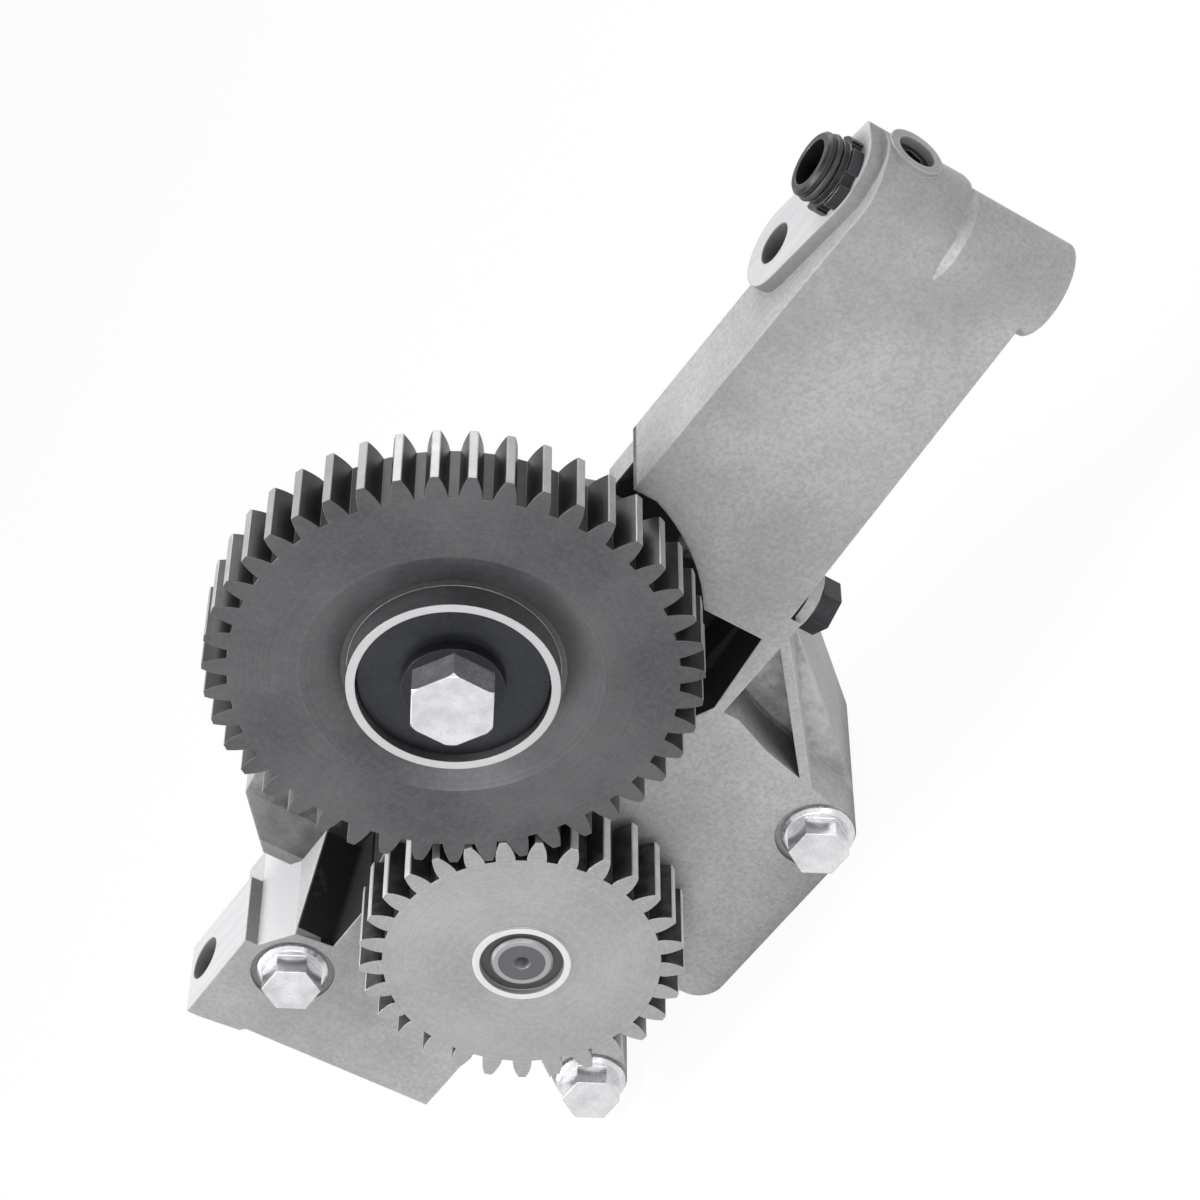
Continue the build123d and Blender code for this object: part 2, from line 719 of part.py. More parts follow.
# Rear cover: closing plate, shaft and axle bosses, suction flange
ear_angle = radians(suction_ear_bearing)
ear_reach = suction_ear_pitch / 2
suction_ears = [
    (suction_port[0] + side * ear_reach * cos(ear_angle), suction_port[1] + side * ear_reach * sin(ear_angle))
    for side in (-1, 1)
]
with BuildPart() as rear_cover:
    with BuildSketch(facing_front(0, cover_back_y, 0)):
        add(pump_body_outline())
    extrude(amount=cover_thickness)
    with BuildSketch(facing_front(0, cover_back_y, 0)):
        with Locations((shaft_x, shaft_z), (rotor_x, rotor_z)):
            Circle(cover_boss_radius)
    extrude(amount=-cover_boss_height)
    with BuildSketch(facing_front(0, cover_back_y, 0)):
        for ear in suction_ears:
            add(hull_of_circles((*suction_port, suction_boss_radius), (*ear, suction_ear_radius)))
    extrude(amount=-suction_boss_height)
    with BuildSketch(facing_front(0, suction_face_y, 0)):
        with Locations(suction_port):
            Circle(suction_bore_radius)
    extrude(amount=suction_face_y - joint_y, mode=Mode.SUBTRACT)
    with BuildSketch(facing_front(0, suction_face_y, 0)):
        with Locations(*suction_ears):
            Circle(suction_screw_radius)
    extrude(amount=suction_screw_depth, mode=Mode.SUBTRACT)
    with BuildSketch(facing_front(0, suction_face_y, 0)):
        with Locations(suction_port):
            Circle(suction_groove_radius + suction_groove_width / 2)
            Circle(suction_groove_radius - suction_groove_width / 2, mode=Mode.SUBTRACT)
    extrude(amount=suction_groove_depth, mode=Mode.SUBTRACT)
    with BuildSketch(facing_front(shaft_x, joint_y, shaft_z)):
        Circle(shaft_bush_radius)
    extrude(amount=-shaft_bush_depth - hole_end_depth, mode=Mode.SUBTRACT)
    with BuildSketch(facing_front(rotor_x, joint_y, rotor_z)):
        Circle(axle_radius)
    extrude(amount=-axle_seat_depth, mode=Mode.SUBTRACT)
    with BuildSketch(facing_front(0, joint_y, 0)):
        with Locations(*cover_bolt_places, upper_bolt_place):
            Circle(cover_bolt_diameter / 2 + thread_clearance)
    extrude(amount=-cover_thickness, mode=Mode.SUBTRACT)
    with BuildSketch(facing_front(0, joint_y, 0)):
        with Locations(*dowel_places):
            Circle(dowel_radius)
    extrude(amount=-dowel_length / 2, mode=Mode.SUBTRACT)
rear_cover.part.label = "rear_cover"
export_step(rear_cover.part, "parts/rear_cover.step")

# Idler gear: toothed rim, flat web that dips towards the hub, ring round the hub
idler_line = idler_bearing + 180.0
idler_pitch_angle = 360.0 / idler_teeth
with BuildPart() as idler_gear:
    with BuildSketch(facing_front(idler_x, 0, idler_z)):
        add(gear_outline(idler_teeth, gear_module, gear_pressure_angle, gear_backlash, idler_tooth_phase))
    extrude(amount=-idler_width)
    with Locations(facing_front(idler_x, 0, idler_z)):
        Cone(
            idler_dish_floor_radius, idler_dish_radius, idler_dish_depth,
            align=(Align.CENTER, Align.CENTER, Align.MAX), mode=Mode.SUBTRACT,
        )
    with BuildSketch(facing_front(idler_x, idler_dish_depth, idler_z)):
        Circle(idler_ring_radius)
    extrude(amount=idler_dish_depth + idler_ring_height)
    with BuildSketch(facing_front(idler_x, -idler_ring_height, idler_z)):
        Circle(idler_recess_radius)
    extrude(amount=-idler_ring_height - idler_recess_floor, mode=Mode.SUBTRACT)
    with BuildSketch(facing_front(idler_x, idler_width, idler_z)):
        Circle(idler_bush_radius)
    extrude(amount=idler_width, mode=Mode.SUBTRACT)
    with BuildSketch(facing_front(idler_x, idler_width, idler_z)):
        Circle(idler_web_outer_radius)
        Circle(idler_web_inner_radius, mode=Mode.SUBTRACT)
    extrude(amount=idler_web_depth, mode=Mode.SUBTRACT)
idler_gear.part.label = "idler_gear"
export_step(idler_gear.part, "parts/idler_gear.step")

with BuildPart() as idler_bush:
    with BuildSketch(facing_front(idler_x, idler_recess_floor, idler_z)):
        Circle(idler_bush_radius)
        Circle(idler_journal_radius + running_clearance, mode=Mode.SUBTRACT)
    extrude(amount=idler_recess_floor - idler_width)
idler_bush.part.label = "idler_bush"
export_step(idler_bush.part, "parts/idler_bush.step")

# Journal: fixed axle of the idler, with a flange against the boss and a spigot in its bore
with BuildPart() as idler_journal:
    with BuildSketch(facing_front(idler_x, plate_back_y, idler_z)):
        Circle(idler_journal_radius)
    extrude(amount=plate_back_y - carrier_face_y)
    with BuildSketch(facing_front(idler_x, carrier_face_y, idler_z)):
        Circle(journal_flange_radius)
    extrude(amount=journal_flange_thickness)
    with BuildSketch(facing_front(idler_x, carrier_face_y, idler_z)):
        Circle(journal_spigot_radius)
    extrude(amount=-journal_spigot_length)
    with BuildSketch(facing_front(idler_x, plate_back_y, idler_z)):
        Circle(idler_bolt_diameter / 2 + bolt_hole_clearance)
    extrude(amount=plate_back_y - carrier_face_y - journal_spigot_length, mode=Mode.SUBTRACT)
idler_journal.part.label = "idler_journal"
export_step(idler_journal.part, "parts/idler_journal.step")

with BuildPart() as idler_thrust_plate:
    with BuildSketch(facing_front(idler_x, plate_back_y, idler_z)):
        Circle(thrust_plate_radius)
        Circle(idler_bolt_diameter / 2 + bolt_hole_clearance, mode=Mode.SUBTRACT)
    extrude(amount=thrust_plate_thickness)
    chamfer(idler_thrust_plate.edges().filter_by(GeomType.CIRCLE).group_by(Axis.Y)[0][-1], length=0.8)
idler_thrust_plate.part.label = "idler_thrust_plate"
export_step(idler_thrust_plate.part, "parts/idler_thrust_plate.step")

with BuildPart() as idler_collar:
    with BuildSketch(facing_front(idler_x, plate_front_y, idler_z)):
        Circle(collar_radius)
        Circle(idler_bolt_diameter / 2 + bolt_hole_clearance, mode=Mode.SUBTRACT)
    extrude(amount=collar_thickness)
idler_collar.part.label = "idler_collar"
export_step(idler_collar.part, "parts/idler_collar.step")

with BuildPart() as idler_bolt:
    with BuildSketch(facing_front(idler_x, collar_front_y, idler_z)):
        RegularPolygon(idler_bolt_flats / 2, 6, major_radius=False, rotation=30)
    extrude(amount=idler_bolt_head_height)
    with BuildSketch(facing_front(idler_x, collar_front_y - idler_bolt_head_height, idler_z)):
        Circle(idler_bolt_flats / 2 + 0.9)
    extrude(amount=-idler_bolt_head_height, taper=-45.0, mode=Mode.INTERSECT)
    with BuildSketch(facing_front(idler_x, collar_front_y, idler_z)):
        Circle(idler_bolt_diameter / 2)
    extrude(amount=-idler_bolt_length)
idler_bolt.part.label = "idler_bolt"
export_step(idler_bolt.part, "parts/idler_bolt.step")

# Shaft gear, whose teeth stand in the gaps of the idler on the line of centres
idler_pitch_share = ((idler_line - idler_tooth_phase) / idler_pitch_angle) % 1
shaft_gear_phase = idler_bearing + (idler_pitch_share + 0.5) * 360.0 / shaft_gear_teeth
with BuildPart() as shaft_gear:
    with BuildSketch(facing_front(shaft_x, 0, shaft_z)):
        add(gear_outline(
            shaft_gear_teeth, gear_module, gear_pressure_angle, gear_backlash, shaft_gear_phase
        ))
    extrude(amount=-shaft_gear_width)
    with BuildSketch(facing_front(shaft_x, 0, shaft_z)):
        Circle(gear_ring_outer_radius)
    extrude(amount=gear_ring_height)
    with BuildSketch(facing_front(shaft_x, -gear_ring_height, shaft_z)):
        Circle(gear_ring_inner_radius)
    extrude(amount=-gear_ring_height - gear_ring_depth, mode=Mode.SUBTRACT)
    with BuildSketch(facing_front(shaft_x, shaft_gear_width, shaft_z)):
        Circle(shaft_radius)
    extrude(amount=shaft_gear_width, mode=Mode.SUBTRACT)
shaft_gear.part.label = "shaft_gear"
export_step(shaft_gear.part, "parts/shaft_gear.step")

with BuildPart() as shaft_thrust_ring:
    with BuildSketch(facing_front(shaft_x, shaft_gear_width, shaft_z)):
        Circle(thrust_ring_radius)
        Circle(shaft_radius, mode=Mode.SUBTRACT)
    extrude(amount=shaft_gear_width + end_float - front_y)
shaft_thrust_ring.part.label = "shaft_thrust_ring"
export_step(shaft_thrust_ring.part, "parts/shaft_thrust_ring.step")

with BuildPart() as drive_shaft:
    with BuildSketch(facing_front(shaft_x, 0, shaft_z)):
        Circle(shaft_radius)
    extrude(amount=-rear_bush_back_y)
    chamfer(drive_shaft.edges().filter_by(GeomType.CIRCLE), length=0.8)
    with BuildSketch(facing_front(shaft_x, 0, shaft_z)):
        Circle(shaft_centre_radius)
    extrude(amount=-shaft_centre_depth, taper=shaft_centre_taper, mode=Mode.SUBTRACT)
drive_shaft.part.label = "drive_shaft"
export_step(drive_shaft.part, "parts/drive_shaft.step")

for_front = (front_y, chamber_front_y - front_y)
for_rear = (joint_y, shaft_bush_depth)
with BuildPart() as front_shaft_bush:
    with BuildSketch(facing_front(shaft_x, for_front[0], shaft_z)):
        Circle(shaft_bush_radius)
        Circle(shaft_radius + running_clearance, mode=Mode.SUBTRACT)
    extrude(amount=-for_front[1])
front_shaft_bush.part.label = "front_shaft_bush"
export_step(front_shaft_bush.part, "parts/front_shaft_bush.step")

with BuildPart() as rear_shaft_bush:
    with BuildSketch(facing_front(shaft_x, for_rear[0], shaft_z)):
        Circle(shaft_bush_radius)
        Circle(shaft_radius + running_clearance, mode=Mode.SUBTRACT)
    extrude(amount=-for_rear[1])
rear_shaft_bush.part.label = "rear_shaft_bush"
export_step(rear_shaft_bush.part, "parts/rear_shaft_bush.step")

# Pump gears: the drive rotor sits on the shaft, the driven rotor turns on its fixed axle
with BuildPart() as drive_rotor:
    with BuildSketch(facing_front(shaft_x, rotor_front_y, shaft_z)):
        add(gear_outline(rotor_teeth, rotor_module, rotor_pressure_angle, rotor_backlash, rotor_bearing))
        Circle(shaft_radius, mode=Mode.SUBTRACT)
    extrude(amount=-rotor_width)
drive_rotor.part.label = "drive_rotor"
export_step(drive_rotor.part, "parts/drive_rotor.step")

rotor_bush_radius = axle_radius + bush_wall
driven_phase = rotor_bearing + 180.0 + 180.0 / rotor_teeth
with BuildPart() as driven_rotor:
    with BuildSketch(facing_front(rotor_x, rotor_front_y, rotor_z)):
        add(gear_outline(rotor_teeth, rotor_module, rotor_pressure_angle, rotor_backlash, driven_phase))
        Circle(rotor_bush_radius, mode=Mode.SUBTRACT)
    extrude(amount=-rotor_width)
driven_rotor.part.label = "driven_rotor"
export_step(driven_rotor.part, "parts/driven_rotor.step")

with BuildPart() as rotor_bush:
    with BuildSketch(facing_front(rotor_x, rotor_front_y, rotor_z)):
        Circle(rotor_bush_radius)
        Circle(axle_radius + running_clearance, mode=Mode.SUBTRACT)
    extrude(amount=-rotor_width)
rotor_bush.part.label = "rotor_bush"
export_step(rotor_bush.part, "parts/rotor_bush.step")

with BuildPart() as rotor_axle:
    with BuildSketch(facing_front(rotor_x, chamber_front_y - axle_seat_depth, rotor_z)):
        Circle(axle_radius)
    extrude(amount=chamber_front_y - joint_y - 2 * axle_seat_depth)
rotor_axle.part.label = "rotor_axle"
export_step(rotor_axle.part, "parts/rotor_axle.step")

# Bolts from the front: three through the bracket, one on the rear wall behind the idler
with BuildPart() as cover_bolts:
    bolt_seat_y = front_y + spotface_depth
    add(flanged_bolt_head(bolt_seat_y, cover_bolt_places))
    with BuildSketch(facing_front(0, bolt_seat_y, 0)):
        with Locations(*cover_bolt_places):
            Circle(cover_bolt_diameter / 2)
    extrude(amount=-cover_bolt_length)
cover_bolts.part.label = "cover_bolts"
export_step(cover_bolts.part, "parts/cover_bolts.step")

with BuildPart() as upper_cover_bolt:
    add(flanged_bolt_head(cavity_floor_y, [upper_bolt_place]))
    with BuildSketch(facing_front(0, cavity_floor_y, 0)):
        with Locations(upper_bolt_place):
            Circle(cover_bolt_diameter / 2)
    extrude(amount=-upper_bolt_length)
upper_cover_bolt.part.label = "upper_cover_bolt"
export_step(upper_cover_bolt.part, "parts/upper_cover_bolt.step")

with BuildPart() as locating_dowels:
    with BuildSketch(facing_front(0, joint_y, 0)):
        with Locations(*dowel_places):
            Circle(dowel_radius)
    extrude(amount=dowel_length / 2, both=True)
locating_dowels.part.label = "locating_dowels"
export_step(locating_dowels.part, "parts/locating_dowels.step")

# Outlet sleeve with its slotted foot collar and the groove of its seal ring
with BuildPart() as outlet_sleeve:
    with BuildSketch(facing_up(outlet_x, outlet_y, -sleeve_seat_depth)):
        Circle(sleeve_radius)
    extrude(amount=sleeve_seat_depth + sleeve_stand)
    chamfer(outlet_sleeve.edges().group_by(Axis.Z)[-1], length=0.8)
    with BuildSketch(facing_up(outlet_x, outlet_y, 0)):
        Circle(sleeve_collar_radius)
        with PolarLocations(sleeve_collar_radius, sleeve_slots):
            Rectangle(2 * (sleeve_collar_radius - sleeve_radius) - 0.6, sleeve_slot_width, mode=Mode.SUBTRACT)
    extrude(amount=sleeve_collar_height)
    with BuildSketch(facing_up(outlet_x, outlet_y, outlet_ring_height - 1.2 * outlet_ring_section)):
        Circle(sleeve_collar_radius)
        Circle(sleeve_radius - 1.5 * outlet_ring_section, mode=Mode.SUBTRACT)
    extrude(amount=2.4 * outlet_ring_section, mode=Mode.SUBTRACT)
    with BuildSketch(facing_up(outlet_x, outlet_y, -sleeve_seat_depth)):
        Circle(riser_radius)
    extrude(amount=sleeve_seat_depth + sleeve_stand, mode=Mode.SUBTRACT)
outlet_sleeve.part.label = "outlet_sleeve"
export_step(outlet_sleeve.part, "parts/outlet_sleeve.step")

with BuildPart() as outlet_seal_ring:
    with Locations(facing_up(outlet_x, outlet_y, outlet_ring_height)):
        Torus(sleeve_radius - outlet_ring_section / 2, outlet_ring_section)
outlet_seal_ring.part.label = "outlet_seal_ring"
export_step(outlet_seal_ring.part, "parts/outlet_seal_ring.step")

with BuildPart() as suction_seal_ring:
    with Locations(facing_front(
        suction_port[0], suction_face_y - suction_groove_depth + suction_ring_section, suction_port[1]
    )):
        Torus(suction_groove_radius, suction_ring_section)
suction_seal_ring.part.label = "suction_seal_ring"
export_step(suction_seal_ring.part, "parts/suction_seal_ring.step")

with BuildPart() as gallery_plug:
    with BuildSketch(facing_end(gallery_face_x - gallery_plug_depth, gallery_hole_y, gallery_hole_z)):
        Circle(gallery_hole_radius - thread_clearance)
    extrude(amount=-gallery_plug_length)
    with BuildSketch(facing_end(gallery_face_x - gallery_plug_depth, gallery_hole_y, gallery_hole_z)):
        RegularPolygon(gallery_plug_flats / 2, 6, major_radius=False)
    extrude(amount=-gallery_plug_socket_depth, mode=Mode.SUBTRACT)
gallery_plug.part.label = "gallery_plug"
export_step(gallery_plug.part, "parts/gallery_plug.step")

# Relief valve: cup piston on its seat, spring, plug and the washer under the plug's head
piston_radius = relief_bore_radius - running_clearance
piston_top_z = relief_seat_z - end_float
with BuildPart() as relief_piston:
    with BuildSketch(facing_up(relief_x, relief_y, piston_top_z)):
        Circle(piston_radius)
    extrude(amount=-relief_piston_length)
    with BuildSketch(facing_up(relief_x, relief_y, piston_top_z - relief_piston_length)):
        Circle(piston_radius - relief_piston_wall)
    extrude(amount=relief_piston_length - relief_piston_crown, mode=Mode.SUBTRACT)
relief_piston.part.label = "relief_piston"
export_step(relief_piston.part, "parts/relief_piston.step")

with BuildPart() as relief_spring:
    coil_height = spring_top_z - spring_bottom_z - 2 * spring_wire_radius
    with BuildLine():
        coil = Helix(
            coil_height / spring_turns, coil_height, spring_coil_radius,
            center=place(relief_x, relief_y, spring_bottom_z + spring_wire_radius),
        )
    with BuildSketch(Plane(origin=coil @ 0, z_dir=coil % 0)):
        Circle(spring_wire_radius)
    sweep(is_frenet=True)
relief_spring.part.label = "relief_spring"
export_step(relief_spring.part, "parts/relief_spring.step")

with BuildPart() as relief_plug:
    plug_seat_z = relief_boss_bottom_z - relief_washer_thickness
    with BuildSketch(facing_up(relief_x, relief_y, plug_seat_z)):
        RegularPolygon(relief_plug_flats / 2, 6, major_radius=False, rotation=30)
    extrude(amount=-relief_plug_head_height)
    with BuildSketch(facing_up(relief_x, relief_y, plug_seat_z)):
        Circle(relief_plug_radius)
    extrude(amount=relief_plug_length)
relief_plug.part.label = "relief_plug"
export_step(relief_plug.part, "parts/relief_plug.step")

with BuildPart() as relief_plug_washer:
    with BuildSketch(facing_up(relief_x, relief_y, relief_boss_bottom_z)):
        Circle(relief_washer_radius)
        Circle(relief_plug_radius + thread_clearance, mode=Mode.SUBTRACT)
    extrude(amount=-relief_washer_thickness)
relief_plug_washer.part.label = "relief_plug_washer"
export_step(relief_plug_washer.part, "parts/relief_plug_washer.step")
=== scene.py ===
import json

import bpy
from mathutils import Matrix, Vector


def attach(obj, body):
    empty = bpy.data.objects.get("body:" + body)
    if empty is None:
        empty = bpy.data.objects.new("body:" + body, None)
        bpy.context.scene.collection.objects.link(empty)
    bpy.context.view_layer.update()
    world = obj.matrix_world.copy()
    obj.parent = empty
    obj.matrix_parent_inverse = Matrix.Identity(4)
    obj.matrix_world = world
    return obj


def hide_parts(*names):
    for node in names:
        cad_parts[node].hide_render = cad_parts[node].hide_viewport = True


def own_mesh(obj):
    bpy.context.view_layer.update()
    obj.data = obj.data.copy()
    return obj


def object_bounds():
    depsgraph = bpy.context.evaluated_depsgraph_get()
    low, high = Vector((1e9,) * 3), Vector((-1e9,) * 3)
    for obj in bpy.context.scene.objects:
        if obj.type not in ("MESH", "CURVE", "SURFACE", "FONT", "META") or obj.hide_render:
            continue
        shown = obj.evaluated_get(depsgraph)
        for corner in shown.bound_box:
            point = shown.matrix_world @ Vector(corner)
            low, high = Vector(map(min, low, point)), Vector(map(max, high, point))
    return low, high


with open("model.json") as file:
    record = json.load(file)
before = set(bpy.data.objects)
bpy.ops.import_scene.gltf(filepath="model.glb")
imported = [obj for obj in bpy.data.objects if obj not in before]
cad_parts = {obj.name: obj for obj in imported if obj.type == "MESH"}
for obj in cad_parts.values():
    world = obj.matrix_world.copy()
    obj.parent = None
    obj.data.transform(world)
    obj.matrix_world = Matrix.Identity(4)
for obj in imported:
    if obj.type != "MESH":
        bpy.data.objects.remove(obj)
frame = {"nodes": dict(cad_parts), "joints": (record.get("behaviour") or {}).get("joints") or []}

cad_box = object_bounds()
nodes = frame["nodes"]
joints = {joint["name"]: joint for joint in frame["joints"]}
scene = bpy.context.scene
scene.view_settings.view_transform = "Standard"

# Camera, with its axes and its place in the row frame
camera_right = Vector((0.5448, 0.0005, -0.8386))
camera_up = Vector((0.6501, 0.6315, 0.4227))
camera_back = Vector((0.5297, -0.7754, 0.3437))
camera_place = Vector((0.75267, -0.83824, 0.34777))
camera_data = bpy.data.cameras.new("camera")
camera_data.lens = 117.27
camera_data.sensor_width = 36.0
camera_data.clip_start = 0.02
camera_data.clip_end = 50.0
camera = bpy.data.objects.new("camera", camera_data)
scene.collection.objects.link(camera)
camera_turn = Matrix((camera_right, camera_up, camera_back)).transposed().to_4x4()
camera.matrix_world = Matrix.Translation(camera_place) @ camera_turn
scene.camera = camera

# Places and sizes of the finishes, in metres in the row frame
pad_tolerance = 0.00005
lightest_skin_height = -0.10
idler_cavity = (0.0374, -0.0148, -0.0662), (0.2284, 0.0162, 0.06)
side_pockets = (0.1550, 0.0, -0.1250), (0.2150, 0.0050, -0.0675)
ledge_end = 0.0520
ledge_bottom = -0.0115
ledge_top = 0.03
# Heights over which the painted shade in the idler's cavity fades out, and how far its edge wanders
cavity_shade_levels = -0.012, 0.022
cavity_shade_spread = 0.008
idler_tip_radius = 0.0675
shaft_gear_tip_radius = 0.0465
tooth_land_depth = 0.00035


def shade(color, factor, added=0.0):
    """A darker or lighter shade of a color."""
    return [min(1.0, added + channel * factor) for channel in color]


# Node building
class Finish:
    """A material that is built up from coordinates in the object's frame."""

    # Sockets that a mix node uses for colors
    mix_factor = 0
    mix_first = 6
    mix_second = 7
    mix_result = 2

    def __init__(self, name):
        self.material = bpy.data.materials.new(name)
        self.material.use_nodes = True
        self.tree = self.material.node_tree
        self.tree.nodes.clear()
        self.output = self.tree.nodes.new("ShaderNodeOutputMaterial")
        self.shader = self.tree.nodes.new("ShaderNodeBsdfPrincipled")
        self.link(self.shader.outputs["BSDF"], self.output.inputs["Surface"])
        self.place = self.tree.nodes.new("ShaderNodeTexCoord").outputs["Object"]

    def link(self, source, target):
        self.tree.links.new(source, target)

    def feed(self, value, target):
        """Give an input a number or a color, or else link an output to it."""
        if isinstance(value, (int, float)):
            target.default_value = value
        elif isinstance(value, (tuple, list)):
            target.default_value = (*value, 1.0)
        else:
            self.link(value, target)

    def math(self, operation, first, second=None, clamp=False):
        node = self.tree.nodes.new("ShaderNodeMath")
        node.operation = operation
        node.use_clamp = clamp
        self.feed(first, node.inputs[0])
        if second is not None:
            self.feed(second, node.inputs[1])
        return node.outputs[0]

    def sum(self, first, second):
        return self.math("ADD", first, second)

    def product(self, first, *others):
        for other in others:
            first = self.math("MULTIPLY", first, other)
        return first

    def inverse(self, mask):
        return self.math("SUBTRACT", 1.0, mask)

    def above(self, value, limit):
        return self.math("GREATER_THAN", value, limit)

    def below(self, value, limit):
        return self.math("LESS_THAN", value, limit)

    def between(self, value, low, high):
        return self.product(self.above(value, low), self.below(value, high))

    def box(self, corners):
        """Mask that is 1 between two corners."""
        return self.product(*(self.between(*limits) for limits in zip(self.axes(), *corners)))

    def noise(self, scale, detail, roughness, vector=None):
        node = self.tree.nodes.new("ShaderNodeTexNoise")
        node.inputs["Scale"].default_value = scale
        node.inputs["Detail"].default_value = detail
        node.inputs["Roughness"].default_value = roughness
        self.link(vector or self.place, node.inputs["Vector"])
        return node.outputs["Fac"]

    def span(self, value, source, target=(0.0, 1.0)):
        """Map a value from the source range to the target range, and stop at its ends."""
        node = self.tree.nodes.new("ShaderNodeMapRange")
        node.inputs["From Min"].default_value, node.inputs["From Max"].default_value = source
        node.inputs["To Min"].default_value, node.inputs["To Max"].default_value = target
        self.link(value, node.inputs["Value"])
        return node.outputs["Result"]

    def mix(self, factor, first, second):
        node = self.tree.nodes.new("ShaderNodeMix")
        node.data_type = "RGBA"
        self.feed(factor, node.inputs[self.mix_factor])
        self.feed(first, node.inputs[self.mix_first])
        self.feed(second, node.inputs[self.mix_second])
        return node.outputs[self.mix_result]

    def axes(self, vector=None):
        node = self.tree.nodes.new("ShaderNodeSeparateXYZ")
        self.link(vector or self.place, node.inputs[0])
        return node.outputs

    def normal_axes(self):
        geometry = self.tree.nodes.new("ShaderNodeNewGeometry")
        return self.axes(geometry.outputs["Normal"])

    def shifted(self, place, scale=(1.0, 1.0, 1.0)):
        """Coordinates measured from a place. A small scale draws a texture out along that axis."""
        node = self.tree.nodes.new("ShaderNodeMapping")
        node.vector_type = "POINT"
        node.inputs["Location"].default_value = [-p * s for p, s in zip(place, scale)]
        node.inputs["Scale"].default_value = scale
        self.link(self.place, node.inputs["Vector"])
        return node.outputs["Vector"]

    def round_axis(self, centre):
        """Distance from an axis along Y that passes through centre."""
        x, _, z = self.axes(self.shifted(centre))
        return self.math("SQRT", self.sum(self.product(x, x), self.product(z, z)))

    def edge_wear_and_highlight(self, radius):
        """Mask of the edges, where the bevelled normal leaves the true one, and that normal. The
        finishes brighten these edges as wear with a painted highlight.
        """
        flat_face, sharp_edge = 0.98, 0.65
        bevel = self.tree.nodes.new("ShaderNodeBevel")
        bevel.samples = 4
        bevel.inputs["Radius"].default_value = radius
        geometry = self.tree.nodes.new("ShaderNodeNewGeometry")
        dot = self.tree.nodes.new("ShaderNodeVectorMath")
        dot.operation = "DOT_PRODUCT"
        self.link(bevel.outputs["Normal"], dot.inputs[0])
        self.link(geometry.outputs["Normal"], dot.inputs[1])
        return self.span(dot.outputs["Value"], (flat_face, sharp_edge)), bevel.outputs["Normal"]

    def recess(self, reach):
        """Mask that is 1 deep in a recess, where walls within reach shut out the light."""
        open_share, shut_share = 0.85, 0.25
        node = self.tree.nodes.new("ShaderNodeAmbientOcclusion")
        node.samples = 8
        node.inputs["Distance"].default_value = reach
        return self.span(node.outputs["AO"], (open_share, shut_share))

    def bump(self, height, distance, strength, normal=None):
        node = self.tree.nodes.new("ShaderNodeBump")
        node.inputs["Strength"].default_value = strength
        node.inputs["Distance"].default_value = distance
        self.link(height, node.inputs["Height"])
        if normal is not None:
            self.link(normal, node.inputs["Normal"])
        return node.outputs["Normal"]

    def finish(self, color, roughness, normal, metallic):
        self.link(color, self.shader.inputs["Base Color"])
        self.link(roughness, self.shader.inputs["Roughness"])
        self.link(normal, self.shader.inputs["Normal"])
        self.shader.inputs["Metallic"].default_value = metallic
        return self.material


# Finishes
def painted_light_in_pockets(f, base, machined):
    """Painted light, mottled, in the pockets beside the arm's rib."""
    patches = f.span(f.noise(150.0, detail=4.0, roughness=0.7), (0.42, 0.60), (0.25, 0.95))
    return f.mix(f.product(f.box(side_pockets), patches), base, shade(machined, 0.88))


def painted_shade_in_cavity(f, base, pad, dark, machined):
    """Painted shade, black and darkest low down, in the cavity behind the idler, lighter at its left
    end, where the ledge's up-facing faces get painted light.
    """
    along, _, height = f.axes()
    side, _, up = f.normal_axes()
    ledge_zone = f.product(f.below(along, ledge_end), f.between(height, ledge_bottom, ledge_top))
    ledge = f.product(ledge_zone, f.above(up, 0.5), f.inverse(pad))
    ragged_edge = f.span(f.noise(90.0, detail=4.0, roughness=0.6), (0.3, 0.7), (-cavity_shade_spread, cavity_shade_spread))
    # Painted shade, black, darkest low in the cavity, lighter in the ledge's zone and left off the
    # ledge
    cavity_shade = f.product(
        f.box(idler_cavity),
        f.span(ledge_zone, (0.0, 1.0), (1.0, 0.65)),
        f.span(f.sum(height, ragged_edge), cavity_shade_levels, (1.0, 0.0)),
        f.inverse(ledge),
    )
    base = f.mix(cavity_shade, base, shade(dark, 0.02))
    # Painted light on the ledge's up-facing faces, brighter where they turn towards +X
    ledge_light = f.product(ledge, f.span(side, (0.0, 0.5), (0.25, 0.85)))
    return f.mix(ledge_light, base, shade(machined, 1.35))


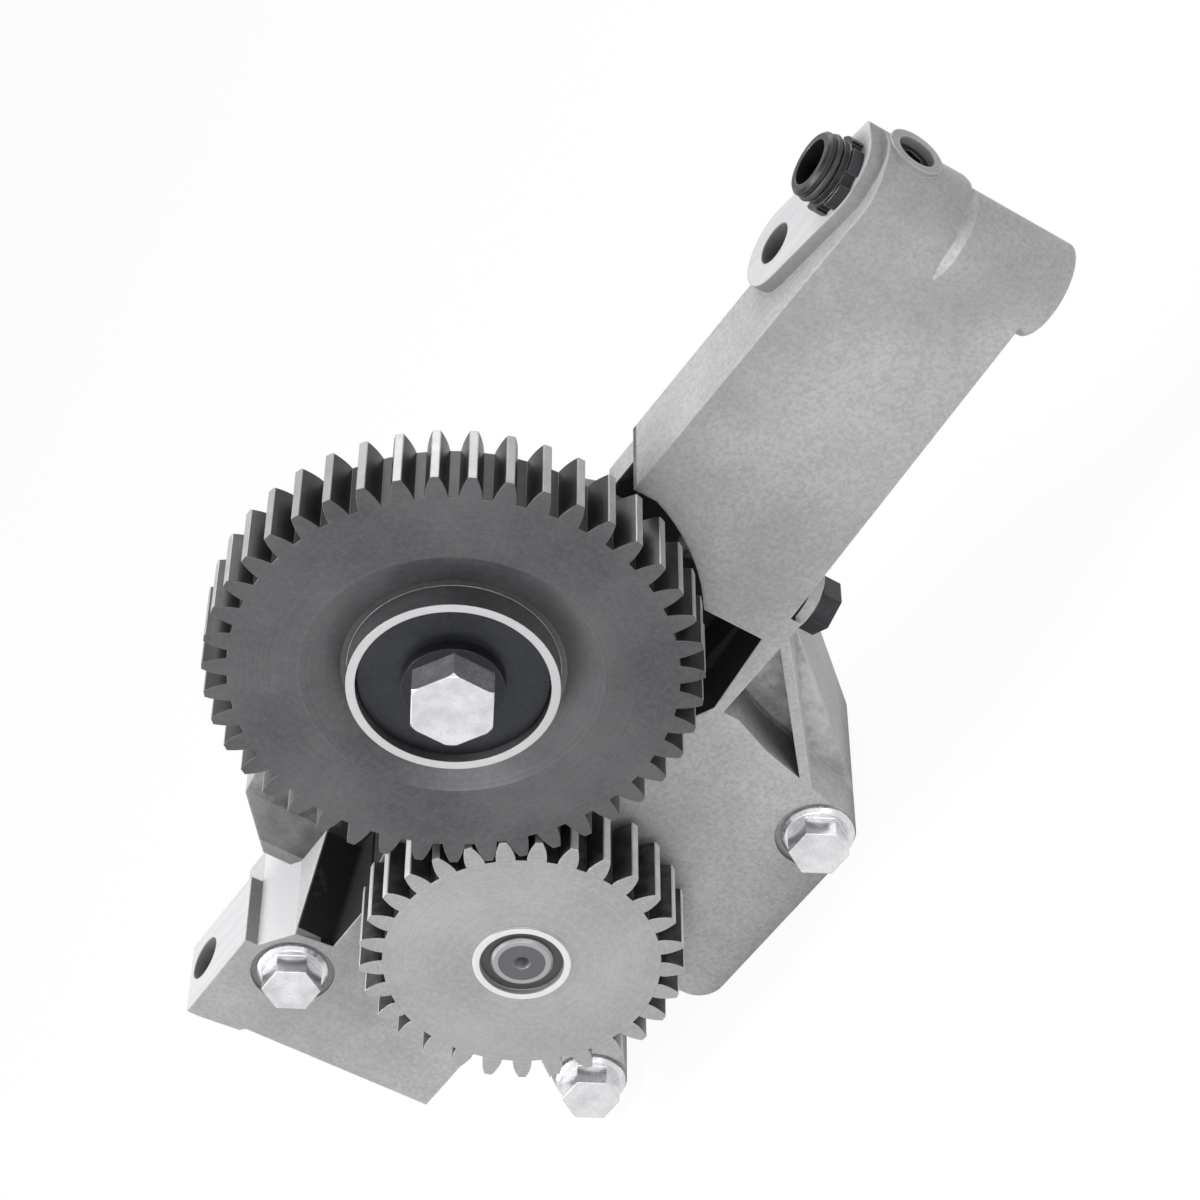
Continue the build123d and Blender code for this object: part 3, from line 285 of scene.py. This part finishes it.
def cast_aluminium(name, dark, light, machined, bracket=False):
    """Sand-cast skin, with bright machined pads, rubbed edges with a painted highlight, grime with
    painted shade in the recesses, painted light on faces that face up, and a lighter tone towards the
    bottom.

    The bracket also has painted light in its side pockets and painted shade in the idler's cavity,
    with painted light on a ledge at its left end.
    """
    f = Finish(name)
    stains = f.noise(22.0, detail=5.0, roughness=0.6)
    speckle = f.noise(900.0, detail=3.0, roughness=0.6)
    height = f.axes()[2]
    up = f.normal_axes()[2]
    # Lighter skin where the stains' tone is light, and lighter towards the bottom
    tone_and_top_light = f.sum(
        f.span(stains, (0.35, 0.68), (0.0, 0.5)),
        f.span(height, (0.0, lightest_skin_height), (0.0, 0.5)),
    )
    # Painted light on faces that face up
    tone_and_top_light = f.sum(tone_and_top_light, f.span(up, (0.5, 0.95), (0.0, 0.6)))
    base = f.mix(tone_and_top_light, dark, light)
    base = f.mix(f.span(speckle, (0.38, 0.66), (0.0, 0.35)), base, shade(dark, 0.80))
    edge, soft = f.edge_wear_and_highlight(0.0009)
    # Rubbed edges, partly wear and partly a painted highlight
    base = f.mix(f.product(edge, 0.55), base, shade(machined, 1.35))
    # Grime with painted shade in the recesses: darker where walls within reach shut out the light,
    # more so where the stains are heavy
    grime_and_shade_share = f.span(stains, (0.2, 0.6), (0.25, 0.55))
    grime_and_shade = f.math("MULTIPLY", f.recess(0.016), grime_and_shade_share, clamp=True)
    base = f.mix(grime_and_shade, base, shade(dark, 0.25))

    # Machined pads, which lie at height zero
    flush = f.between(height, -pad_tolerance, pad_tolerance)
    pad = f.product(flush, f.above(up, 0.99))
    if bracket:
        # Painted light in the bracket's side pockets
        base = painted_light_in_pockets(f, base, machined)
        # Painted shade in the cavity behind the idler, with painted light on its ledge
        base = painted_shade_in_cavity(f, base, pad, dark, machined)
    streaks = f.noise(260.0, detail=2.0, roughness=0.5, vector=f.shifted((0, 0, 0), (0.06, 1.0, 1.0)))
    pad_color = f.mix(f.span(streaks, (0.3, 0.7)), machined, shade(machined, 0.88))
    base = f.mix(pad, base, pad_color)
    rough_skin = f.span(speckle, (0.3, 0.7), (0.58, 0.74))
    rough_pad = f.span(streaks, (0.3, 0.7), (0.38, 0.50))
    roughness = f.mix(pad, rough_skin, rough_pad)

    # Sand grain, which the pads don't have
    fine_grain = f.product(f.noise(700.0, detail=4.0, roughness=0.65), 0.7)
    grain = f.sum(fine_grain, f.noise(170.0, detail=3.0, roughness=0.5))
    normal = f.bump(f.product(grain, f.inverse(pad)), distance=0.00022, strength=0.55, normal=soft)
    return f.finish(base, roughness, normal, metallic=0.15)


def turned_steel(name, centre, dark, light, metallic=0.75, bands=(), teeth=None):
    """Turned steel round an axis along Y: fine rings, coloured bands on the face, and teeth with
    painted shade on their flanks and a painted highlight on their lands.

    Each band is (inner radius, outer radius, color). The teeth are (tip radius, color of the painted
    shade on the flanks, color of the painted highlight on the lands), where the land is the narrow
    top of a tooth.
    """
    f = Finish(name)
    radius = f.round_axis(centre)
    ring_seed = f.tree.nodes.new("ShaderNodeCombineXYZ")
    f.link(radius, ring_seed.inputs[0])
    groove = f.noise(1400.0, detail=2.0, roughness=0.6, vector=ring_seed.outputs[0])
    haze = f.noise(28.0, detail=4.0, roughness=0.6)
    fine = f.noise(620.0, detail=3.0, roughness=0.6)
    base = f.mix(f.span(haze, (0.35, 0.7)), dark, light)
    base = f.mix(f.span(groove, (0.35, 0.65), (0.0, 0.30)), base, shade(dark, 0.7))
    base = f.mix(f.span(fine, (0.4, 0.7), (0.0, 0.25)), base, shade(light, 1.25))
    facing = f.math("ABSOLUTE", f.normal_axes()[1])
    for inner, outer, color in bands:
        band = f.product(f.between(radius, inner, outer), f.above(facing, 0.5))
        base = f.mix(f.product(band, 0.88), base, color)
    if teeth:
        # Painted shade on the tooth flanks and a painted highlight on the tooth lands, each a little
        # mottled
        tip, flank_shade, land_highlight = teeth
        side = f.product(f.below(facing, 0.5), f.above(radius, tip * 0.85))
        tooth_mottle = f.span(f.noise(190.0, detail=4.0, roughness=0.6), (0.35, 0.7), (0.80, 1.0))
        base = f.mix(f.product(side, tooth_mottle), base, flank_shade)
        top = f.product(side, f.above(radius, tip - tooth_land_depth))
        base = f.mix(f.product(top, tooth_mottle), base, land_highlight)
    edge, soft = f.edge_wear_and_highlight(0.0004)
    # Rubbed edges, partly wear and partly a painted highlight
    base = f.mix(f.product(edge, 0.6), base, shade(light, 1.7))
    sheen = f.sum(f.product(groove, 0.5), f.product(haze, 0.5))
    roughness = f.span(sheen, (0.3, 0.7), (0.28, 0.42))
    relief = f.sum(groove, f.product(fine, 0.5))
    normal = f.bump(relief, distance=0.00006, strength=0.35, normal=soft)
    return f.finish(base, roughness, normal, metallic)


def plated_steel(name, dark, light, rough=(0.16, 0.32), metallic=0.85):
    """Plated, blackened or ground metal, with cloudy color and rubbed edges with a painted highlight.
    """
    f = Finish(name)
    cloud = f.noise(140.0, detail=4.0, roughness=0.6)
    fine = f.noise(1500.0, detail=2.0, roughness=0.5)
    base = f.mix(f.span(cloud, (0.35, 0.7)), dark, light)
    base = f.mix(f.span(fine, (0.45, 0.7), (0.0, 0.2)), base, shade(dark, 0.7))
    edge, soft = f.edge_wear_and_highlight(0.0005)
    # Rubbed edges, partly wear and partly a painted highlight
    base = f.mix(f.product(edge, 0.6), base, shade(light, 1.1, added=0.25))
    roughness = f.span(cloud, (0.3, 0.7), rough)
    relief = f.sum(fine, f.product(cloud, 0.8))
    normal = f.bump(relief, distance=0.00005, strength=0.4, normal=soft)
    return f.finish(base, roughness, normal, metallic)


def bearing_bronze(name):
    """Tarnished bronze with fine lines along Y."""
    f = Finish(name)
    tarnish = f.noise(60.0, detail=4.0, roughness=0.6)
    lines = f.noise(900.0, detail=2.0, roughness=0.5, vector=f.shifted((0, 0, 0), (1.0, 0.08, 1.0)))
    base = f.mix(f.span(tarnish, (0.35, 0.68)), (0.36, 0.22, 0.09), (0.56, 0.38, 0.18))
    base = f.mix(f.span(lines, (0.4, 0.7), (0.0, 0.3)), base, (0.25, 0.15, 0.07))
    _, soft = f.edge_wear_and_highlight(0.0003)
    roughness = f.span(tarnish, (0.3, 0.7), (0.25, 0.42))
    normal = f.bump(lines, distance=0.00004, strength=0.35, normal=soft)
    return f.finish(base, roughness, normal, metallic=0.9)


def seal_rubber(name):
    """Black rubber with a faint bloom."""
    f = Finish(name)
    bloom = f.noise(220.0, detail=4.0, roughness=0.6)
    pores = f.noise(1300.0, detail=2.0, roughness=0.5)
    base = f.mix(f.span(bloom, (0.4, 0.72)), (0.012, 0.012, 0.013), (0.035, 0.035, 0.037))
    roughness = f.span(bloom, (0.3, 0.7), (0.38, 0.55))
    normal = f.bump(pores, distance=0.00003, strength=0.4)
    return f.finish(base, roughness, normal, metallic=0.0)


# The finish of each node, then the finishes that several nodes share
idler_centre = joints["idler_spin"]["pos_m"]
shaft_centre = joints["shaft_spin"]["pos_m"]
rotor_centre = joints["driven_rotor_spin"]["pos_m"]
machined = (0.62, 0.62, 0.635)
steel = (0.25, 0.25, 0.26), (0.40, 0.40, 0.41)
idler_bands = [
    (0.0262, 0.0289, (0.60, 0.60, 0.61)),
    (0.0200, 0.0262, (0.03, 0.03, 0.033)),
]
# On the shaft gear's face: a bright ring, and inside it painted shade on the recess floor
shaft_gear_bands = [
    (0.0120, 0.0141, (0.74, 0.74, 0.75)),
    (0.0089, 0.0121, (0.035, 0.035, 0.037)),
]
shaft_bands = [
    (0.0068, 0.0091, (0.36, 0.36, 0.37)),
    (0.0024, 0.0068, (0.10, 0.10, 0.105)),
]
finishes = {
    "pump_bracket": cast_aluminium(
        "cast_skin", (0.245, 0.245, 0.25), (0.50, 0.50, 0.505), machined, bracket=True
    ),
    "rear_cover": cast_aluminium("cover_skin", (0.36, 0.36, 0.365), (0.47, 0.47, 0.475), machined),
    "idler_gear": turned_steel(
        "idler_steel", idler_centre, (0.070, 0.071, 0.075), (0.125, 0.126, 0.13), 0.45,
        bands=idler_bands, teeth=(idler_tip_radius, (0.022, 0.022, 0.024), (0.42, 0.42, 0.43)),
    ),
    "shaft_gear": turned_steel(
        "shaft_gear_steel", shaft_centre, (0.31, 0.31, 0.315), (0.42, 0.42, 0.425), 0.5,
        bands=shaft_gear_bands,
        teeth=(shaft_gear_tip_radius, (0.020, 0.020, 0.022), (0.80, 0.80, 0.82)),
    ),
    "drive_shaft": turned_steel(
        "shaft_steel", shaft_centre, (0.20, 0.20, 0.21), (0.32, 0.32, 0.33), 0.6, bands=shaft_bands
    ),
    "idler_thrust_plate": turned_steel(
        "plate_steel", idler_centre, (0.018, 0.019, 0.022), (0.04, 0.042, 0.048), 0.6
    ),
    "idler_collar": turned_steel(
        "collar_steel", idler_centre, (0.014, 0.015, 0.017), (0.03, 0.031, 0.035), 0.6
    ),
    "drive_rotor": turned_steel("drive_rotor_steel", shaft_centre, *steel),
    "driven_rotor": turned_steel("driven_rotor_steel", rotor_centre, *steel),
    "idler_journal": turned_steel("journal_steel", idler_centre, *steel),
}
zinc = plated_steel("zinc_plating", (0.62, 0.62, 0.64), (0.82, 0.82, 0.84))
black = plated_steel("black_oxide", (0.016, 0.016, 0.018), (0.045, 0.045, 0.05), (0.3, 0.45), 0.6)
ground = plated_steel("ground_steel", (0.30, 0.30, 0.31), (0.45, 0.45, 0.46), (0.22, 0.35))
copper = plated_steel("annealed_copper", (0.10, 0.062, 0.045), (0.17, 0.10, 0.07), (0.4, 0.55))
bronze = bearing_bronze("bearing_bronze")
rubber = seal_rubber("seal_rubber")
shared = {
    zinc: ("idler_bolt", "cover_bolts", "upper_cover_bolt"),
    black: ("outlet_sleeve", "gallery_plug", "relief_plug"),
    ground: ("locating_dowels", "rotor_axle", "relief_piston", "relief_spring"),
    copper: ("relief_plug_washer",),
    bronze: ("idler_bush", "shaft_thrust_ring", "front_shaft_bush", "rear_shaft_bush", "rotor_bush"),
    rubber: ("outlet_seal_ring", "suction_seal_ring"),
}
for material, names in shared.items():
    for name in names:
        finishes[name] = material
for name, obj in nodes.items():
    if not obj.material_slots:
        obj.data.materials.append(finishes[name])
    for slot in obj.material_slots:
        slot.material = finishes[name]

# Relief valve's spring, as a copy with its own mesh on the pump's body, in place of the CAD part
spring = bpy.data.objects.new("relief_spring_coil", nodes["relief_spring"].data.copy())
scene.collection.objects.link(spring)
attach(spring, "pump")
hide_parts("relief_spring")
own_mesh(spring)

# Floor just under the lowest point, world and soft studio lamps
low, high = cad_box
middle = (Vector(low) + Vector(high)) / 2
floor_reach = 6.0
floor_gap = 0.0005
floor_color = (0.88, 0.88, 0.88, 1.0)
floor_glow_share = 0.95
ambient_strength = 0.30
white = (1.0, 1.0, 1.0, 1.0)


def add_node(tree, kind, **values):
    """A node, with the inputs that are named set to a value."""
    node = tree.nodes.new(kind)
    for name, value in values.items():
        node.inputs[name].default_value = value
    return node


def shows_plain(tree):
    """Factor that is 1 for what the camera, a reflection or a transmission sees."""
    path = add_node(tree, "ShaderNodeLightPath")
    factor = path.outputs["Is Camera Ray"]
    for ray in ("Is Glossy Ray", "Is Transmission Ray"):
        either = add_node(tree, "ShaderNodeMath")
        either.operation = "MAXIMUM"
        tree.links.new(factor, either.inputs[0])
        tree.links.new(path.outputs[ray], either.inputs[1])
        factor = either.outputs[0]
    return factor


def blend_shaders(tree, output_kind, factor, first, second):
    """Surface that shows the first shader where the factor is 0 and the second where it is 1."""
    blend = add_node(tree, "ShaderNodeMixShader")
    tree.links.new(factor, blend.inputs[0])
    tree.links.new(first.outputs[0], blend.inputs[1])
    tree.links.new(second.outputs[0], blend.inputs[2])
    tree.links.new(blend.outputs[0], add_node(tree, output_kind).inputs["Surface"])


corner_signs = ((-1, -1), (1, -1), (1, 1), (-1, 1))
floor_corners = [
    (middle.x + x_sign * floor_reach, middle.y + y_sign * floor_reach, low[2] - floor_gap)
    for x_sign, y_sign in corner_signs
]
floor_mesh = bpy.data.meshes.new("floor")
floor_mesh.from_pydata(floor_corners, [], [(0, 1, 2, 3)])
floor = bpy.data.objects.new("floor", floor_mesh)
scene.collection.objects.link(floor)
floor_material = bpy.data.materials.new("pale_floor")
floor_material.use_nodes = True
tree = floor_material.node_tree
tree.nodes.clear()
matt = add_node(tree, "ShaderNodeBsdfDiffuse", Color=floor_color)
glow = add_node(tree, "ShaderNodeEmission", Color=white)
share = add_node(tree, "ShaderNodeMath")
share.operation = "MULTIPLY"
share.inputs[1].default_value = floor_glow_share
tree.links.new(shows_plain(tree), share.inputs[0])
blend_shaders(tree, "ShaderNodeOutputMaterial", share.outputs[0], matt, glow)
floor_mesh.materials.append(floor_material)

world = bpy.data.worlds.new("studio")
scene.world = world
world.use_nodes = True
tree = world.node_tree
tree.nodes.clear()
ambient = add_node(tree, "ShaderNodeBackground", Color=white, Strength=ambient_strength)
plain = add_node(tree, "ShaderNodeBackground", Color=white, Strength=1.0)
blend_shaders(tree, "ShaderNodeOutputWorld", shows_plain(tree), ambient, plain)

# For each lamp, its place from the object's middle, its size in metres and its power in watts
lamps = {
    "key": ((-0.40, -0.30, 1.35), 0.6, 17.0),
    "fill": ((0.25, -1.60, 0.05), 1.3, 12.0),
    "right": ((1.35, -0.60, -0.05), 1.0, 8.0),
    "left": ((-1.1, -0.5, 0.5), 0.8, 5.0),
    "back": ((0.55, 1.15, 0.6), 0.9, 6.0),
}
for name, (place, size, power) in lamps.items():
    lamp_data = bpy.data.lights.new(name, "AREA")
    lamp_data.shape = "DISK"
    lamp_data.size = size
    lamp_data.energy = power
    lamp = bpy.data.objects.new(name, lamp_data)
    scene.collection.objects.link(lamp)
    lamp.location = middle + Vector(place)
    lamp.rotation_euler = (-Vector(place)).to_track_quat("-Z", "Y").to_euler()
